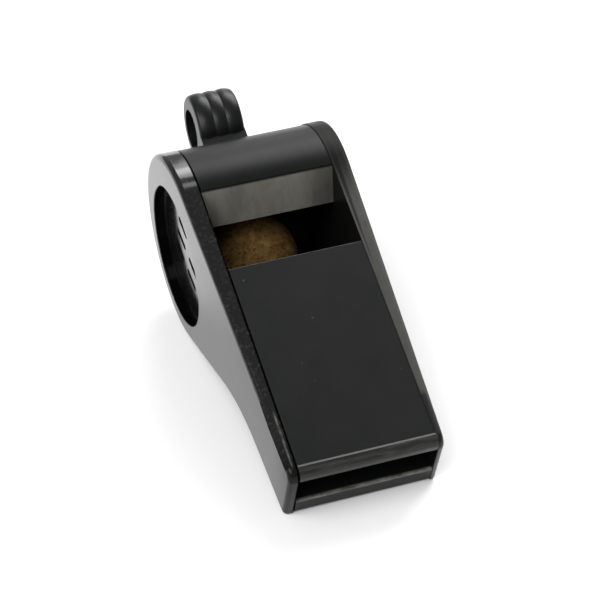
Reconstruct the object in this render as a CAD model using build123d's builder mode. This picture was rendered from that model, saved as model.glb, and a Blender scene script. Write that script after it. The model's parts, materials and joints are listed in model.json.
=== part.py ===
"""Pea whistle: a moulded body with a glued side cover, a lanyard eye and a loose cork pea.

X runs across the whistle, the mouthpiece points towards -Y and +Z is up. The whistle rests on the
bottom of its barrel and on the lower front edge of its mouthpiece. The origin is under the centre
of its bounding box. Profiles are drawn in the whistle's own side plane, whose first axis, "along",
runs from the barrel's axis away from the mouth, and whose second axis, "up", is square to the roof.
"""
from build123d import *
from math import acos, asin, atan2, cos, hypot, pi, radians, sin, sqrt, tan
import os

os.makedirs("parts", exist_ok=True)

# Outline of the side walls, in millimetres and degrees
rim_radius = 11.8
mouth_reach = 38.4
mouth_height = 8.8
mouth_edge_round = 0.45
front_top_round = 1.4
knee_along = -23.2
knee_up = 1.95
knee_round = 22.0

# Widths: a straight core between two side walls whose outer faces draw in towards the mouth
core_half_width = 8.0
core_recess = 0.12
core_front_recess = 0.1
cover_half_width = 10.45
cover_taper = 1.72
cover_edge_round = 0.6
wall_half_width = 10.15
wall_taper = 2.08
wall_edge_round = 0.6
wall_inner_round = 0.1
seam_width = 0.2
seam_depth = 0.4

# Tooth bevel along the outer top edge of each side wall, next to the mouth
bevel_start = -28.2
bevel_run_in = 3.2
bevel_end = -37.0
bevel_start_inset = 1.1
bevel_inset = 0.55
bevel_slope = 0.9

# Chamber, lip and windway, measured along the whistle and down from the top of the side walls
chamber_radius = 9.4
chamber_front = -9.35
window_front = -10.9
window_lean = 0.4
lip_ridge = 0.05
lip_edge = -2.05
lip_depth = 5.0
lip_back_angle = 50.0
windway_top = (1.55, 3.1)
windway_floor = (6.1, 5.2)
roof_front_round = 0.85
bead_width = 0.55
bead_height = 0.12
sharp_edge_round = 0.12
lower_lip_round = 0.2

# Round recess in each side wall, with rows of sunk bars in its floor
recess_radius = 8.65
recess_drop = 1.3
recess_depth = 1.45
recess_round = 0.15
bar_depth = 0.25
bar_width = 0.9
bar_length = 3.2
bar_columns = 2
bar_rows = 3
column_pitch = 4.4
row_pitch = 2.5

# Lanyard eye
eye_along = 17.3
eye_up = -1.2
eye_radius = 4.3
hole_along = 17.55
hole_up = -1.6
eye_hole_radius = 2.65
eye_width = 5.7
eye_middle = -0.5
eye_neck = 5.4
eye_edge_round = 0.5
rib_count = 3
rib_width = 1.6
rib_height = 0.13

# Cork pea
pea_radius = 5.75
pea_clearance = 0.15
pea_gap = 1.0

# Resting attitude: the floor touches the barrel and the round of the mouth's lower edge
mouth_bottom = rim_radius - mouth_height
touch_along = mouth_edge_round - mouth_reach
touch_up = mouth_bottom + mouth_edge_round
touch_distance = hypot(touch_along, touch_up)
pitch = atan2(touch_up, -touch_along) + asin((rim_radius - mouth_edge_round) / touch_distance)

# Place of the barrel's axis, with the origin under the middle of the bounding box
eye_back = eye_along * cos(pitch) - eye_up * sin(pitch) + eye_radius + rib_height
front_round_along = front_top_round - mouth_reach
front_round_up = rim_radius - front_top_round
mouth_y = front_round_along * cos(pitch) - front_round_up * sin(pitch) - front_top_round
axis_y = -(eye_back + mouth_y) / 2

core_radius = rim_radius - core_recess
core_front = core_front_recess - mouth_reach
core_width = 2 * core_half_width


def side_plane(x):
    """The whistle's side plane at width x, centred on the barrel's axis."""
    return Plane(origin=(x, axis_y, rim_radius), x_dir=(0, cos(pitch), sin(pitch)), z_dir=(1, 0, 0))


def cross_plane(along):
    """Plane square to the whistle's length, facing the mouth, with "up" as its second axis."""
    origin = (0, axis_y + along * cos(pitch), rim_radius + along * sin(pitch))
    return Plane(origin=origin, x_dir=(1, 0, 0), z_dir=(0, -cos(pitch), -sin(pitch)))


def touch_angle(inset):
    """Angle on the barrel where the straight underside meets it, for an outline set in by this."""
    knee = hypot(knee_along, knee_up + inset)
    return atan2(knee_up + inset, knee_along) + acos((rim_radius - inset) / knee)


def on_circle(radius, angle):
    """Point on a circle about the barrel's axis."""
    return (radius * cos(angle), radius * sin(angle))


def windway_up(depths, along):
    """Height of a windway face at this place, from its depths at the mouth and at the window."""
    share = (along + mouth_reach) / (window_front + mouth_reach)
    return rim_radius - depths[0] - (depths[1] - depths[0]) * share


def nearest_vertex(sketch, point):
    """The sketch's corner that is nearest to a point of its own plane."""
    return sketch.vertices().sort_by_distance((*point, 0))[0]


# Places on the core's outline: where wall and floor meet, and where the lip's rear face starts
split_angle = touch_angle(core_recess)
split_outer = on_circle(core_radius, split_angle)
split_inner = on_circle(chamber_radius, split_angle)
ridge = on_circle(core_radius, acos(lip_ridge / core_radius))
lip_up = rim_radius - lip_depth
back_cos = cos(radians(lip_back_angle))
back_sin = sin(radians(lip_back_angle))
back_half = lip_edge * back_cos + lip_up * back_sin
back_length = sqrt(back_half**2 + chamber_radius**2 - lip_edge**2 - lip_up**2) - back_half
lip_back = (lip_edge + back_length * back_cos, lip_up + back_length * back_sin)
lip_back_turn = atan2(lip_back[1], lip_back[0])

# Side wall outline, drawn flat and centred on the barrel's axis
outline_knee = (knee_along, knee_up)
with BuildSketch() as side_outline:
    Circle(rim_radius)
    with BuildLine():
        Polyline(
            (0, 0),
            (0, rim_radius),
            (-mouth_reach, rim_radius),
            (-mouth_reach, mouth_bottom),
            outline_knee,
            on_circle(rim_radius, touch_angle(0)),
            close=True,
        )
    make_face()
    fillet(nearest_vertex(side_outline, outline_knee), knee_round)
    fillet(nearest_vertex(side_outline, (-mouth_reach, rim_radius)), front_top_round)
    fillet(nearest_vertex(side_outline, (-mouth_reach, mouth_bottom)), mouth_edge_round)


def bevel_corners(half_width, inset):
    """Corners of the tooth bevel's section, which starts this far outside the core."""
    inner = -core_half_width - inset
    drop = bevel_slope * (inner + half_width)
    above = rim_radius + 1
    return [(inner, rim_radius), (-half_width, rim_radius - drop), (-half_width, above), (inner, above)]


def side_blank(half_width, taper_angle, edge_round):
    """A left side wall, with its tapered outer face, tooth bevel, and recess with sunk bars."""
    taper = tan(radians(taper_angle))
    full_bevel = bevel_start - bevel_run_in
    outer_face = Plane(
        origin=(-half_width, axis_y, rim_radius),
        x_dir=(-taper, cos(pitch), sin(pitch)),
        z_dir=(-1, -taper * cos(pitch), -taper * sin(pitch)),
    )
    with BuildPart() as blank:
        with BuildSketch(side_plane(-core_half_width)):
            add(side_outline.sketch)
        extrude(amount=-2 * half_width)
        split(bisect_by=outer_face, keep=Keep.BOTTOM)
        fillet(blank.faces().sort_by(Axis.X)[0].outer_wire().edges(), edge_round)
        for along, inset in ((bevel_start, bevel_start_inset), (full_bevel, bevel_inset)):
            with BuildSketch(cross_plane(along)):
                with BuildLine():
                    Polyline(*bevel_corners(half_width, inset), close=True)
                make_face()
        loft(ruled=True, mode=Mode.SUBTRACT)
        with BuildSketch(cross_plane(full_bevel)):
            with BuildLine():
                Polyline(*bevel_corners(half_width, bevel_inset), close=True)
            make_face()
        extrude(amount=full_bevel - bevel_end, mode=Mode.SUBTRACT)
        with BuildSketch(outer_face):
            with Locations((0, recess_drop)):
                Circle(recess_radius)
        extrude(amount=-recess_depth, mode=Mode.SUBTRACT)
        circles = blank.edges().filter_by(GeomType.CIRCLE)
        fillet(circles.filter_by(lambda edge: abs(edge.radius - recess_radius) < 0.01), recess_round)
        with BuildSketch(outer_face.offset(-recess_depth)):
            with Locations((0, recess_drop)):
                with GridLocations(column_pitch, row_pitch, bar_columns, bar_rows):
                    SlotOverall(bar_length, bar_width)
        extrude(amount=-bar_depth, mode=Mode.SUBTRACT)
    return blank.part


# Glued cover on the left, whose inner edge is stepped back to leave a fine seam
with BuildPart() as left_side_cover:
    add(side_blank(cover_half_width, cover_taper, cover_edge_round))
    with BuildSketch(side_plane(-core_half_width)):
        add(side_outline.sketch)
        offset(amount=-seam_depth, mode=Mode.SUBTRACT)
    extrude(amount=-seam_width, mode=Mode.SUBTRACT)
left_side_cover.part.label = "left_side_cover"
export_step(left_side_cover.part, "parts/left_side_cover.step")

# Right side of the body moulding, with a fine round along its inner edge
with BuildPart() as right_side_wall:
    mirror(side_blank(wall_half_width, wall_taper, wall_edge_round), about=Plane.YZ)
    fillet(right_side_wall.faces().sort_by(Axis.X)[0].outer_wire().edges(), wall_inner_round)
right_side_wall.part.label = "right_side_wall"
export_step(right_side_wall.part, "parts/right_side_wall.step")

# Barrel wall, from the underside round the back to the lip
with BuildPart() as barrel_shell:
    with BuildSketch(side_plane(-core_half_width)) as barrel_profile:
        with BuildLine():
            ThreePointArc(
                ridge,
                on_circle(core_radius, (split_angle - 2 * pi + pi / 2) / 2),
                split_outer,
            )
            Line(split_outer, split_inner)
            ThreePointArc(
                split_inner,
                on_circle(chamber_radius, (split_angle - 2 * pi + lip_back_turn) / 2),
                lip_back,
            )
            Line(lip_back, (lip_edge, lip_up))
            Line((lip_edge, lip_up), ridge)
        make_face()
        fillet(nearest_vertex(barrel_profile, ridge), sharp_edge_round)
    extrude(amount=core_width)
barrel_shell.part.label = "barrel_shell"
export_step(barrel_shell.part, "parts/barrel_shell.step")

# Windway floor and the underside of the mouthpiece
front_wall_foot = (chamber_front, -sqrt(chamber_radius**2 - chamber_front**2))
front_wall_turn = atan2(front_wall_foot[1], front_wall_foot[0]) + 2 * pi
core_knee = (knee_along, knee_up + core_recess)
core_toe = (core_front, mouth_bottom + core_recess)
lower_lip = (core_front, windway_up(windway_floor, core_front))
with BuildPart() as windway_floor_block:
    with BuildSketch(side_plane(-core_half_width)) as floor_profile:
        with BuildLine():
            ThreePointArc(
                split_inner,
                on_circle(chamber_radius, (split_angle + front_wall_turn) / 2),
                front_wall_foot,
            )
            Polyline(
                front_wall_foot,
                (chamber_front, windway_up(windway_floor, chamber_front)),
                lower_lip,
                core_toe,
                core_knee,
                split_outer,
                split_inner,
            )
        make_face()
        fillet(nearest_vertex(floor_profile, core_knee), knee_round)
        fillet(nearest_vertex(floor_profile, core_toe), mouth_edge_round)
        fillet(nearest_vertex(floor_profile, lower_lip), lower_lip_round)
    extrude(amount=core_width)
windway_floor_block.part.label = "windway_floor"
export_step(windway_floor_block.part, "parts/windway_floor.step")

# Windway roof, with a low bead along its front edge
bead_front = core_front + roof_front_round
upper_lip = (core_front, windway_up(windway_top, core_front))
with BuildPart() as windway_roof:
    with BuildSketch(side_plane(-core_half_width)) as roof_profile:
        with BuildLine():
            Polyline(
                (window_front, core_radius),
                (bead_front + bead_width, core_radius),
                (bead_front + bead_width / 2, core_radius + bead_height),
                (bead_front, core_radius),
                (core_front, core_radius),
                upper_lip,
                (window_front - window_lean, windway_up(windway_top, window_front)),
                close=True,
            )
        make_face()
        fillet(nearest_vertex(roof_profile, (core_front, core_radius)), 0.95 * roof_front_round)
        fillet(nearest_vertex(roof_profile, upper_lip), sharp_edge_round)
        fillet(nearest_vertex(roof_profile, (window_front, core_radius)), sharp_edge_round)
    extrude(amount=core_width)
windway_roof.part.label = "windway_roof"
export_step(windway_roof.part, "parts/windway_roof.step")

# Lanyard eye on the back of the barrel, with soft ribs round its outside
eye_centre = side_plane(0).from_local_coords((eye_along, eye_up, 0))
with BuildPart() as lanyard_loop:
    with BuildSketch(side_plane(eye_middle - eye_width / 2)):
        with Locations((eye_along, eye_up)):
            Circle(eye_radius)
        with Locations((eye_along / 2, eye_up)):
            Rectangle(eye_along, eye_neck)
        with Locations((hole_along, hole_up)):
            Circle(eye_hole_radius, mode=Mode.SUBTRACT)
        Circle(core_radius, mode=Mode.SUBTRACT)
    extrude(amount=eye_width)
    rims = lanyard_loop.edges().filter_by(GeomType.CIRCLE)
    fillet(rims.filter_by(lambda edge: abs(edge.radius - eye_radius) < 0.01), eye_edge_round)
    with BuildSketch(cross_plane(eye_along)):
        with BuildLine():
            for number in range(rib_count):
                rib_start = eye_middle + (number - rib_count / 2) * rib_width
                ThreePointArc(
                    (rib_start, eye_up + eye_radius),
                    (rib_start + rib_width / 2, eye_up + eye_radius + rib_height),
                    (rib_start + rib_width, eye_up + eye_radius),
                )
            ribs_end = eye_middle + rib_count / 2 * rib_width
            Polyline(
                (ribs_end, eye_up + eye_radius),
                (ribs_end, eye_up + eye_radius - rib_height),
                (ribs_end - rib_count * rib_width, eye_up + eye_radius - rib_height),
                (ribs_end - rib_count * rib_width, eye_up + eye_radius),
            )
        make_face()
    revolve(axis=Axis(eye_centre, (1, 0, 0)))
lanyard_loop.part.label = "lanyard_loop"
export_step(lanyard_loop.part, "parts/lanyard_loop.step")

# Loose cork pea, at the lowest point of the chamber and beside the cover
pea_orbit = chamber_radius - pea_radius - pea_clearance
pea_x = pea_radius + pea_gap - core_half_width
with BuildPart(Plane(origin=(pea_x, axis_y, rim_radius - pea_orbit))) as cork_pea:
    Sphere(pea_radius)
cork_pea.part.label = "cork_pea"
export_step(cork_pea.part, "parts/cork_pea.step")
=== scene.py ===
"""Looks of the training whistle: materials, surface detail, floor, light and camera."""
import json
import math

import bpy
from mathutils import Matrix, Vector

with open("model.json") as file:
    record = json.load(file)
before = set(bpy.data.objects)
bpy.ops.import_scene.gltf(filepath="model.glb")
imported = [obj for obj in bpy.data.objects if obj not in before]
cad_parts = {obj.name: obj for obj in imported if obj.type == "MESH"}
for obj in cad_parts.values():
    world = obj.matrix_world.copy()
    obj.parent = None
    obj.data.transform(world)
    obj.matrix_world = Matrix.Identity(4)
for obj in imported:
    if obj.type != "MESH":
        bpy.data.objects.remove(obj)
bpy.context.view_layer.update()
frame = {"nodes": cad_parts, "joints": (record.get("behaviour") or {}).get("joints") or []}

MM = 0.001

# Directions: across the whistle, along its sloping roof away from the mouth, and up square to that roof
PITCH = math.radians(22.523)
ACROSS = (1, 0, 0)
ALONG = (0, math.cos(PITCH), math.sin(PITCH))
UP = (0, -math.sin(PITCH), math.cos(PITCH))

# The pea rolls about the barrel's axis. The round recesses of the side faces are centred a little below it.
pea_hinge = frame["joints"][0]
BARREL_AXIS = Vector((0.0, *pea_hinge["pos_m"][1:]))
RECESS_DROP = 1.3 * MM


# Nodes of a material. A ramp is a pair of values between which a mask comes or goes.

class Shader:
    """A material and short calls for the nodes that its surface needs."""

    def __init__(self, name):
        self.material = bpy.data.materials.new(name)
        self.material.use_nodes = True
        self.tree = self.material.node_tree
        self.surface = self.tree.nodes["Principled BSDF"]
        self.place = self.node("ShaderNodeTexCoord").outputs["Object"]

    def node(self, kind, **settings):
        made = self.tree.nodes.new(kind)
        for key, value in settings.items():
            setattr(made, key, value)
        return made

    def link(self, output, socket):
        self.tree.links.new(output, socket)

    def keep(self, socket, value):
        """One value all over the surface."""
        self.surface.inputs[socket].default_value = value

    def vary(self, socket, output):
        """A value that differs from place to place on the surface."""
        self.link(output, self.surface.inputs[socket])

    def noise(self, scale, detail=4.0, roughness=0.55, distortion=0.0, stretch=(1, 1, 1)):
        """Noise value with features about 1 / scale metres across."""
        mapping = self.node("ShaderNodeMapping")
        mapping.inputs["Scale"].default_value = stretch
        self.link(self.place, mapping.inputs["Vector"])
        made = self.node("ShaderNodeTexNoise")
        made.inputs["Scale"].default_value = scale
        made.inputs["Detail"].default_value = detail
        made.inputs["Roughness"].default_value = roughness
        made.inputs["Distortion"].default_value = distortion
        self.link(mapping.outputs["Vector"], made.inputs["Vector"])
        return made.outputs["Fac"]

    def remap(self, value, ramp, result):
        """The first of result up to the start of the ramp, and the second from its end on."""
        made = self.node("ShaderNodeMapRange", clamp=True)
        for key, number in zip(("From Min", "From Max", "To Min", "To Max"), (*ramp, *result)):
            made.inputs[key].default_value = number
        self.link(value, made.inputs["Value"])
        return made.outputs["Result"]

    def above(self, value, ramp):
        """Nothing below the ramp and one above it."""
        return self.remap(value, ramp, (0.0, 1.0))

    def below(self, value, ramp):
        """One below the ramp and nothing above it."""
        return self.remap(value, ramp, (1.0, 0.0))

    def between(self, value, low, high, edge):
        """One between low and high, falling to nothing over an edge on both sides."""
        return self.product(self.above(value, (low - edge, low)), self.below(value, (high, high + edge)))

    def calculate(self, operation, first, second):
        """Result of a sum on two values, each a number or an output."""
        made = self.node("ShaderNodeMath", operation=operation)
        for socket, value in zip(made.inputs, (first, second)):
            if isinstance(value, (int, float)):
                socket.default_value = value
            else:
                self.link(value, socket)
        return made.outputs["Value"]

    def product(self, first, *others):
        for other in others:
            first = self.calculate("MULTIPLY", first, other)
        return first

    def mix(self, factor, first, second):
        """Colour mixed by a factor; a colour is a tuple or an output."""
        made = self.node("ShaderNodeMix", data_type="RGBA")
        self.link(factor, made.inputs["Factor"])
        first_colour, second_colour = made.inputs[6], made.inputs[7]
        for socket, value in ((first_colour, first), (second_colour, second)):
            if isinstance(value, tuple):
                socket.default_value = (*value, 1.0)
            else:
                self.link(value, socket)
        mixed_colour = made.outputs[2]
        return mixed_colour

    def whistle_place(self):
        """Place across the whistle, along it from the barrel's axis, and up square to its roof."""
        from_axis = self.node("ShaderNodeVectorMath", operation="SUBTRACT")
        self.link(self.place, from_axis.inputs[0])
        from_axis.inputs[1].default_value = BARREL_AXIS
        distances = []
        for unit in (ACROSS, ALONG, UP):
            dot = self.node("ShaderNodeVectorMath", operation="DOT_PRODUCT")
            self.link(from_axis.outputs["Vector"], dot.inputs[0])
            dot.inputs[1].default_value = unit
            distances.append(dot.outputs["Value"])
        return distances

    def facing(self):
        """How far the surface faces along X and along Z of the whistle, from -1 to 1."""
        split = self.node("ShaderNodeSeparateXYZ")
        coordinate = self.node("ShaderNodeTexCoord")
        self.link(coordinate.outputs["Normal"], split.inputs["Vector"])
        return split.outputs["X"], split.outputs["Z"]

    def paler_and_rougher(self, mask, colour, extra_roughness):
        """Paler, rougher plastic where the mask is high, over what the surface already has."""
        old_colour = self.surface.inputs["Base Color"].links[0].from_socket
        self.vary("Base Color", self.mix(mask, old_colour, colour))
        old_roughness = self.surface.inputs["Roughness"].links[0].from_socket
        extra = self.remap(mask, (0.0, 1.0), (0.0, extra_roughness))
        self.vary("Roughness", self.calculate("ADD", old_roughness, extra))

    def bump(self, layers):
        """Bump from (height, depth in metres) layers."""
        normal = None
        for height, depth in layers:
            made = self.node("ShaderNodeBump")
            made.inputs["Strength"].default_value = 1.0
            made.inputs["Distance"].default_value = depth
            self.link(height, made.inputs["Height"])
            if normal is not None:
                self.link(normal, made.inputs["Normal"])
            normal = made.outputs["Normal"]
        self.vary("Normal", normal)


# Plastic of the body and of the cover

def moulded_plastic(name, roughness, shine, wave_depth):
    """Black plastic with a faint flow pattern, fine grain, smudges and a few pale specks of dust."""
    deep_black = (0.0034, 0.0038, 0.0037)
    hazy_black = (0.0042, 0.0046, 0.0044)
    dust_colour = (0.06, 0.06, 0.055)
    grain_depth = 0.002 * MM
    dust_height = 0.01 * MM

    shader = Shader(name)
    shader.keep("IOR", 1.5)
    shader.keep("Specular IOR Level", shine)
    wave = shader.noise(scale=120, detail=2.0)
    grain = shader.noise(scale=5200, detail=3.0)
    smudge = shader.noise(scale=260, detail=5.0, roughness=0.6, distortion=0.8)
    haze = shader.above(smudge, (0.35, 0.75))
    dust = shader.above(shader.noise(scale=1500, detail=1.0, roughness=0.3), (0.82, 0.86))
    shader.vary("Base Color", shader.mix(dust, shader.mix(haze, deep_black, hazy_black), dust_colour))
    smudged = shader.remap(haze, (0.0, 1.0), (roughness, roughness + 0.03))
    dusty = shader.remap(dust, (0.0, 1.0), (0.0, 0.3))
    shader.vary("Roughness", shader.calculate("ADD", smudged, dusty))
    shader.bump([(wave, wave_depth), (grain, grain_depth), (dust, dust_height)])
    return shader


def satin_body(name, shine=0.27):
    """The body moulding, satin all over."""
    return moulded_plastic("black_plastic_" + name, roughness=0.32, shine=shine, wave_depth=0.03 * MM)


def worn_lip_with_painted_shadow():
    """The satin plastic of the barrel, with a paler face on the lip in the window, worn by rubbing and
    dusty, toned down towards the right wall as painted shadow of that wall.
    """
    face_lean = 0.42
    face_front = (-4.75 * MM, -4.55 * MM)
    face_top = (11.35 * MM, 11.6 * MM)
    right_end = (4.0 * MM, 7.5 * MM)
    barrel_crest = (1.2 * MM, 2.6 * MM)
    pale_colour = (0.190, 0.186, 0.160)

    shader = satin_body("worn_lip_with_painted_shadow")
    across, along, up = shader.whistle_place()
    leaning_place = shader.calculate("SUBTRACT", along, shader.product(up, face_lean))
    on_face = shader.below(leaning_place, face_front)
    under_edge = shader.below(up, face_top)
    # Painted shadow of the right wall: the pale face is toned down towards it.
    painted_wall_shadow = shader.remap(across, right_end, (1.0, 0.45))
    streak = shader.noise(scale=420, detail=5.0, roughness=0.6, distortion=0.3, stretch=(1, 1, 0.35))
    streaky = shader.remap(streak, (0.3, 0.75), (0.55, 1.0))
    shader.paler_and_rougher(shader.product(on_face, under_edge, painted_wall_shadow, streaky), pale_colour, extra_roughness=0.4)
    shader.vary("Specular IOR Level", shader.remap(along, barrel_crest, (0.05, 0.09)))
    return shader


def rim_with_rubbing_and_painted_highlights():
    """The satin plastic of the right side wall, pale along both edges of its rim, partly from rubbing and
    partly as painted highlight.
    """
    draw_in = 0.034
    outer_band = (8.72 * MM, 8.88 * MM)
    inner_edge = (8.22 * MM, 8.32 * MM)
    tooth_bevel = (-32.2 * MM, -31.4 * MM)
    beside_window = (-6.0 * MM, 0.0)
    barrel_start = (-5.0 * MM, 1.0 * MM)
    pale_colour = (0.042, 0.042, 0.036)

    shader = satin_body("rim_with_rubbing_and_painted_highlights")
    across, along, _ = shader.whistle_place()
    _, upward = shader.facing()
    on_top = shader.above(upward, (0.25, 0.55))
    drawn_place = shader.calculate("SUBTRACT", across, shader.product(along, draw_in))
    # Painted highlights along the rim's outer band and inner edge, patchy like rubbing.
    outer = shader.above(drawn_place, outer_band)
    inner = shader.below(across, inner_edge)
    behind_bevel = shader.above(along, tooth_bevel)
    before_barrel = shader.remap(along, beside_window, (1.0, 0.2))
    patchy = shader.remap(shader.noise(scale=700, detail=5.0, roughness=0.65), (0.3, 0.7), (0.6, 1.0))
    bands = shader.calculate("MAXIMUM", outer, inner)
    scuffs_and_painted_highlights = shader.product(bands, on_top, behind_bevel, before_barrel, patchy)
    shader.paler_and_rougher(scuffs_and_painted_highlights, pale_colour, extra_roughness=0.25)
    shader.vary("Specular IOR Level", shader.remap(along, barrel_start, (0.28, 0.04)))
    return shader


def roof_with_scuffs_and_painted_highlight():
    """The satin plastic of the windway roof, worn by rubbing along its front bead and its edge at the
    window; the pale streaks on the front bead are partly painted highlight.
    """
    front_round = (-37.3 * MM, -36.9 * MM)
    window_edge = (-11.1 * MM, -10.9 * MM)
    pale_colour = (0.042, 0.041, 0.036)

    shader = satin_body("roof_with_scuffs_and_painted_highlight")
    _, along, _ = shader.whistle_place()
    # The pale streaks on the front bead are partly scuffs and partly painted highlight; at the window edge
    # they are from rubbing.
    at_front = shader.below(along, front_round)
    at_window = shader.remap(along, window_edge, (0.0, 0.5))
    scratch = shader.noise(scale=1500, detail=5.0, roughness=0.7, distortion=0.3, stretch=(0.10, 1, 1))
    scuffs_and_highlight_streaks = shader.remap(scratch, (0.45, 0.70), (0.15, 0.9))
    edges = shader.calculate("MAXIMUM", at_front, at_window)
    shader.paler_and_rougher(shader.product(edges, scuffs_and_highlight_streaks), pale_colour, extra_roughness=0.2)
    return shader


def windway_with_scuffs_and_painted_highlight():
    """The satin plastic of the windway floor, with a pale top edge on the lower lip, partly scuffs from
    rubbing and partly painted highlight.
    """
    mouth_front = (-38.05 * MM, -37.85 * MM)
    lower_lip_top = (5.35 * MM, 5.50 * MM)
    pale_colour = (0.150, 0.145, 0.130)

    shader = satin_body("windway_with_scuffs_and_painted_highlight", shine=0.14)
    _, along, up = shader.whistle_place()
    scratch = shader.noise(scale=900, detail=6.0, roughness=0.7, distortion=0.5, stretch=(0.3, 1, 1))
    scuffs_and_highlight_streaks = shader.remap(scratch, (0.38, 0.60), (0.15, 1.0))
    # The pale top edge of the lower lip is partly scuffs and partly painted highlight.
    top_edge = shader.product(shader.below(along, mouth_front), shader.above(up, lower_lip_top))
    shader.paler_and_rougher(shader.product(top_edge, scuffs_and_highlight_streaks), pale_colour, extra_roughness=0.3)
    return shader


def polished_cover_with_painted_light():
    """The glued cover, glossy: painted shade on its recess wall, dark along its glue line, with painted
    highlights and scuffs on rim and tooth bevel.
    """
    recess_edge = (8.68 * MM, 8.75 * MM)
    glue_line = (-8.32 * MM, -8.26 * MM)
    mouthpiece = (-37.0 * MM, -33.0 * MM)
    upper_side = (6.0 * MM, 10.0 * MM)
    recess_gloss = 0.45
    gloss_lost_in_dark = 0.95
    rim_highlight_share = 0.5
    darkest = (0.0008, 0.0008, 0.0008)
    pale_colour = (0.090, 0.088, 0.080)

    shader = moulded_plastic("black_plastic_polished_with_painted_light", roughness=0.10, shine=0.5, wave_depth=0.02 * MM)
    across, along, up = shader.whistle_place()
    sideways, upward = shader.facing()

    lowered = shader.calculate("ADD", up, RECESS_DROP)
    squares = shader.calculate("ADD", shader.product(along, along), shader.product(lowered, lowered))
    in_recess = shader.below(shader.calculate("POWER", squares, 0.5), recess_edge)
    off_recess = shader.calculate("SUBTRACT", 1.0, in_recess)
    # Painted shade: the recess wall is painted near black; the glue line is a dark joint.
    recess_wall_shade = shader.product(in_recess, shader.above(sideways, (-0.97, -0.90)))
    dark = shader.calculate("MAXIMUM", recess_wall_shade, shader.above(across, glue_line))
    plain = shader.surface.inputs["Base Color"].links[0].from_socket
    shader.vary("Base Color", shader.mix(dark, plain, darkest))

    gloss = shader.remap(along, mouthpiece, (0.22, 0.48))
    gloss = shader.calculate("SUBTRACT", gloss, shader.remap(up, upper_side, (0.0, 0.10)))
    gloss = shader.calculate("ADD", gloss, shader.product(in_recess, recess_gloss))
    lit = shader.calculate("SUBTRACT", 1.0, shader.product(dark, gloss_lost_in_dark))
    shader.vary("Specular IOR Level", shader.product(gloss, lit))

    on_rim = shader.above(upward, (0.3, 0.5))
    # Painted highlights: a pale line on the rim's edge round and along the ridge of the tooth bevel, broken
    # by scratches; the specks are scuffs.
    rim_edge_highlight = shader.product(shader.between(sideways, -0.90, -0.80, edge=0.06), off_recess)
    bevel_across = shader.between(across, -8.66 * MM, -8.50 * MM, edge=0.05 * MM)
    bevel_along = shader.between(along, -36.6 * MM, -30.5 * MM, edge=0.8 * MM)
    bevel_ridge_highlight = shader.product(bevel_across, bevel_along)
    specks = shader.remap(shader.noise(scale=2300, detail=3.0, roughness=0.6), (0.52, 0.72), (0.0, 0.16))
    scratches = shader.remap(shader.noise(scale=1200, detail=5.0, roughness=0.7), (0.35, 0.65), (0.1, 0.8))
    edges = shader.calculate("MAXIMUM", shader.product(rim_edge_highlight, rim_highlight_share), bevel_ridge_highlight)
    scuffs_and_painted_highlights = shader.calculate("MAXIMUM", specks, shader.product(edges, scratches))
    shader.paler_and_rougher(shader.product(on_rim, off_recess, scuffs_and_painted_highlights), pale_colour, extra_roughness=0.3)
    return shader


# Cork of the pea

def cork():
    """Pressed cork: soft, blurred granules of two browns, with small dark pits."""
    brown = (0.090, 0.046, 0.0115)
    light_brown = (0.190, 0.112, 0.0320)
    dark_brown = (0.052, 0.026, 0.0085)
    pit_colour = (0.020, 0.011, 0.005)
    granule_depth = 0.12 * MM
    pit_depth = 0.10 * MM

    shader = Shader("cork_granules")
    blotch = shader.noise(scale=520, detail=3.0, roughness=0.6, distortion=1.2)
    granule = shader.noise(scale=1500, detail=3.0, roughness=0.6, distortion=0.6)
    pit = shader.noise(scale=3400, detail=2.0, roughness=0.5, distortion=0.4)
    blotchy = shader.mix(shader.above(blotch, (0.35, 0.65)), brown, light_brown)
    mottled = shader.mix(shader.remap(granule, (0.48, 0.68), (0.0, 0.65)), blotchy, dark_brown)
    pitted = shader.remap(pit, (0.60, 0.70), (0.0, 0.7))
    shader.vary("Base Color", shader.mix(pitted, mottled, pit_colour))
    shader.keep("Roughness", 0.85)
    shader.keep("Specular IOR Level", 0.2)
    shader.bump([(granule, -granule_depth), (pitted, -pit_depth)])
    return shader


# Materials on the CAD nodes

finishes = {
    "left_side_cover": polished_cover_with_painted_light(),
    "right_side_wall": rim_with_rubbing_and_painted_highlights(),
    "barrel_shell": worn_lip_with_painted_shadow(),
    "windway_roof": roof_with_scuffs_and_painted_highlight(),
    "windway_floor": windway_with_scuffs_and_painted_highlight(),
    "lanyard_loop": satin_body("loop", shine=0.24),
    "cork_pea": cork(),
}
for name, node in frame["nodes"].items():
    node.data.materials.clear()
    node.data.materials.append(finishes[name].material)


# Floor, lights and camera

def floor_white():
    """Pale matt floor with a very faint, broad unevenness."""
    shader = Shader("floor_white")
    haze = shader.noise(scale=9, detail=2.0)
    shader.vary("Base Color", shader.mix(haze, (0.90, 0.90, 0.90), (0.93, 0.93, 0.93)))
    shader.keep("Roughness", 0.9)
    return shader


def floor(reach):
    """Square floor at the whistle's foot, this far to each side of it."""
    mesh = bpy.data.meshes.new("studio_floor")
    corners = [(-reach, -reach, 0), (reach, -reach, 0), (reach, reach, 0), (-reach, reach, 0)]
    mesh.from_pydata(corners, [], [(0, 1, 2, 3)])
    mesh.materials.append(floor_white().material)
    made = bpy.data.objects.new("studio_floor", mesh)
    bpy.context.scene.collection.objects.link(made)


def direction(azimuth, elevation):
    """Unit vector from the whistle towards a place seen at this azimuth and elevation, in degrees."""
    turn = math.radians(azimuth)
    rise = math.radians(elevation)
    return Vector((math.sin(turn) * math.cos(rise), -math.cos(turn) * math.cos(rise), math.sin(rise)))


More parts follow.
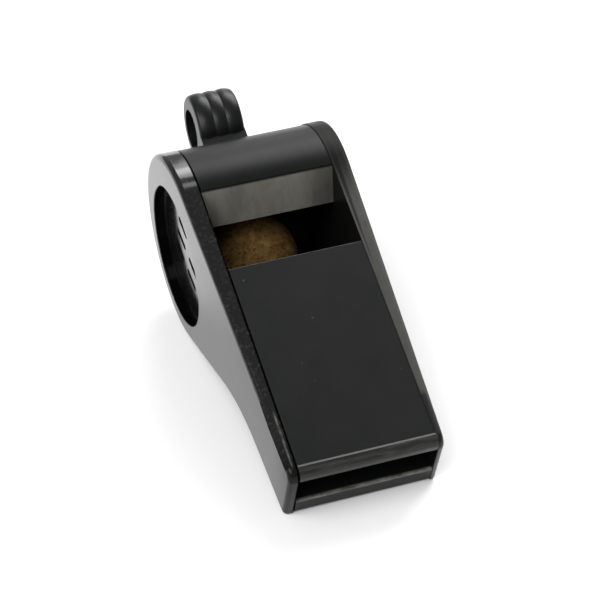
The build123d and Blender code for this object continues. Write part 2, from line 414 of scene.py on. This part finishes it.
def softbox(name, azimuth, elevation, distance, size, power):
    """Rectangular light that faces the whistle; its size is (width, height) in metres."""
    light = bpy.data.lights.new(name, "AREA")
    light.shape = "RECTANGLE"
    light.size, light.size_y = size
    light.energy = power
    made = bpy.data.objects.new(name, light)
    bpy.context.scene.collection.objects.link(made)
    away = direction(azimuth, elevation)
    made.location = away * distance
    made.rotation_mode = "QUATERNION"
    made.rotation_quaternion = (-away).to_track_quat("-Z", "Y")


def world_light(zenith, horizon):
    """Soft, even grey surroundings, from horizon to zenith."""
    world = bpy.data.worlds.new("soft_surroundings")
    bpy.context.scene.world = world
    world.use_nodes = True
    tree = world.node_tree
    background = tree.nodes["Background"]
    coordinate = tree.nodes.new("ShaderNodeTexCoord")
    split = tree.nodes.new("ShaderNodeSeparateXYZ")
    tree.links.new(coordinate.outputs["Generated"], split.inputs["Vector"])
    ramp = tree.nodes.new("ShaderNodeValToRGB")
    for element, height, grey in zip(ramp.color_ramp.elements, (0.0, 0.95), (horizon, zenith)):
        element.position = height
        element.color = (grey, grey, grey, 1)
    tree.links.new(split.outputs["Z"], ramp.inputs["Fac"])
    tree.links.new(ramp.outputs["Color"], background.inputs["Color"])
    background.inputs["Strength"].default_value = 1.0


def camera():
    """Long-lens camera, above and to the left of the mouthpiece, rolled slightly."""
    azimuth = -16.91
    elevation = 36.84
    roll = -2.19
    distance = 281.4 * MM
    aim = Vector((0.15, -5.80, 12.30)) * MM
    data = bpy.data.cameras.new("photo_camera")
    data.lens = 146.05
    data.sensor_width = 36.0
    data.clip_start = 0.01
    made = bpy.data.objects.new("photo_camera", data)
    bpy.context.scene.collection.objects.link(made)
    back = direction(azimuth, elevation)
    made.location = aim + back * distance
    made.rotation_mode = "QUATERNION"
    level = (-back).to_track_quat("-Z", "Y")
    made.rotation_quaternion = level @ Matrix.Rotation(math.radians(roll), 3, "Z").to_quaternion()
    bpy.context.scene.camera = made


floor(reach=8.0)
world_light(zenith=0.42, horizon=0.44)
softbox("key_back_right", azimuth=138, elevation=41, distance=1.0, size=(0.8, 0.55), power=9.3)
softbox("strip_behind", azimuth=166, elevation=29, distance=1.0, size=(0.06, 0.74), power=0.6)
softbox("patch_behind", azimuth=152, elevation=65, distance=1.0, size=(0.10, 0.10), power=0.15)
softbox("fill_front_left", azimuth=-54, elevation=50, distance=1.2, size=(1.0, 0.8), power=14.5)
camera()
bpy.context.scene.view_settings.view_transform = "Standard"
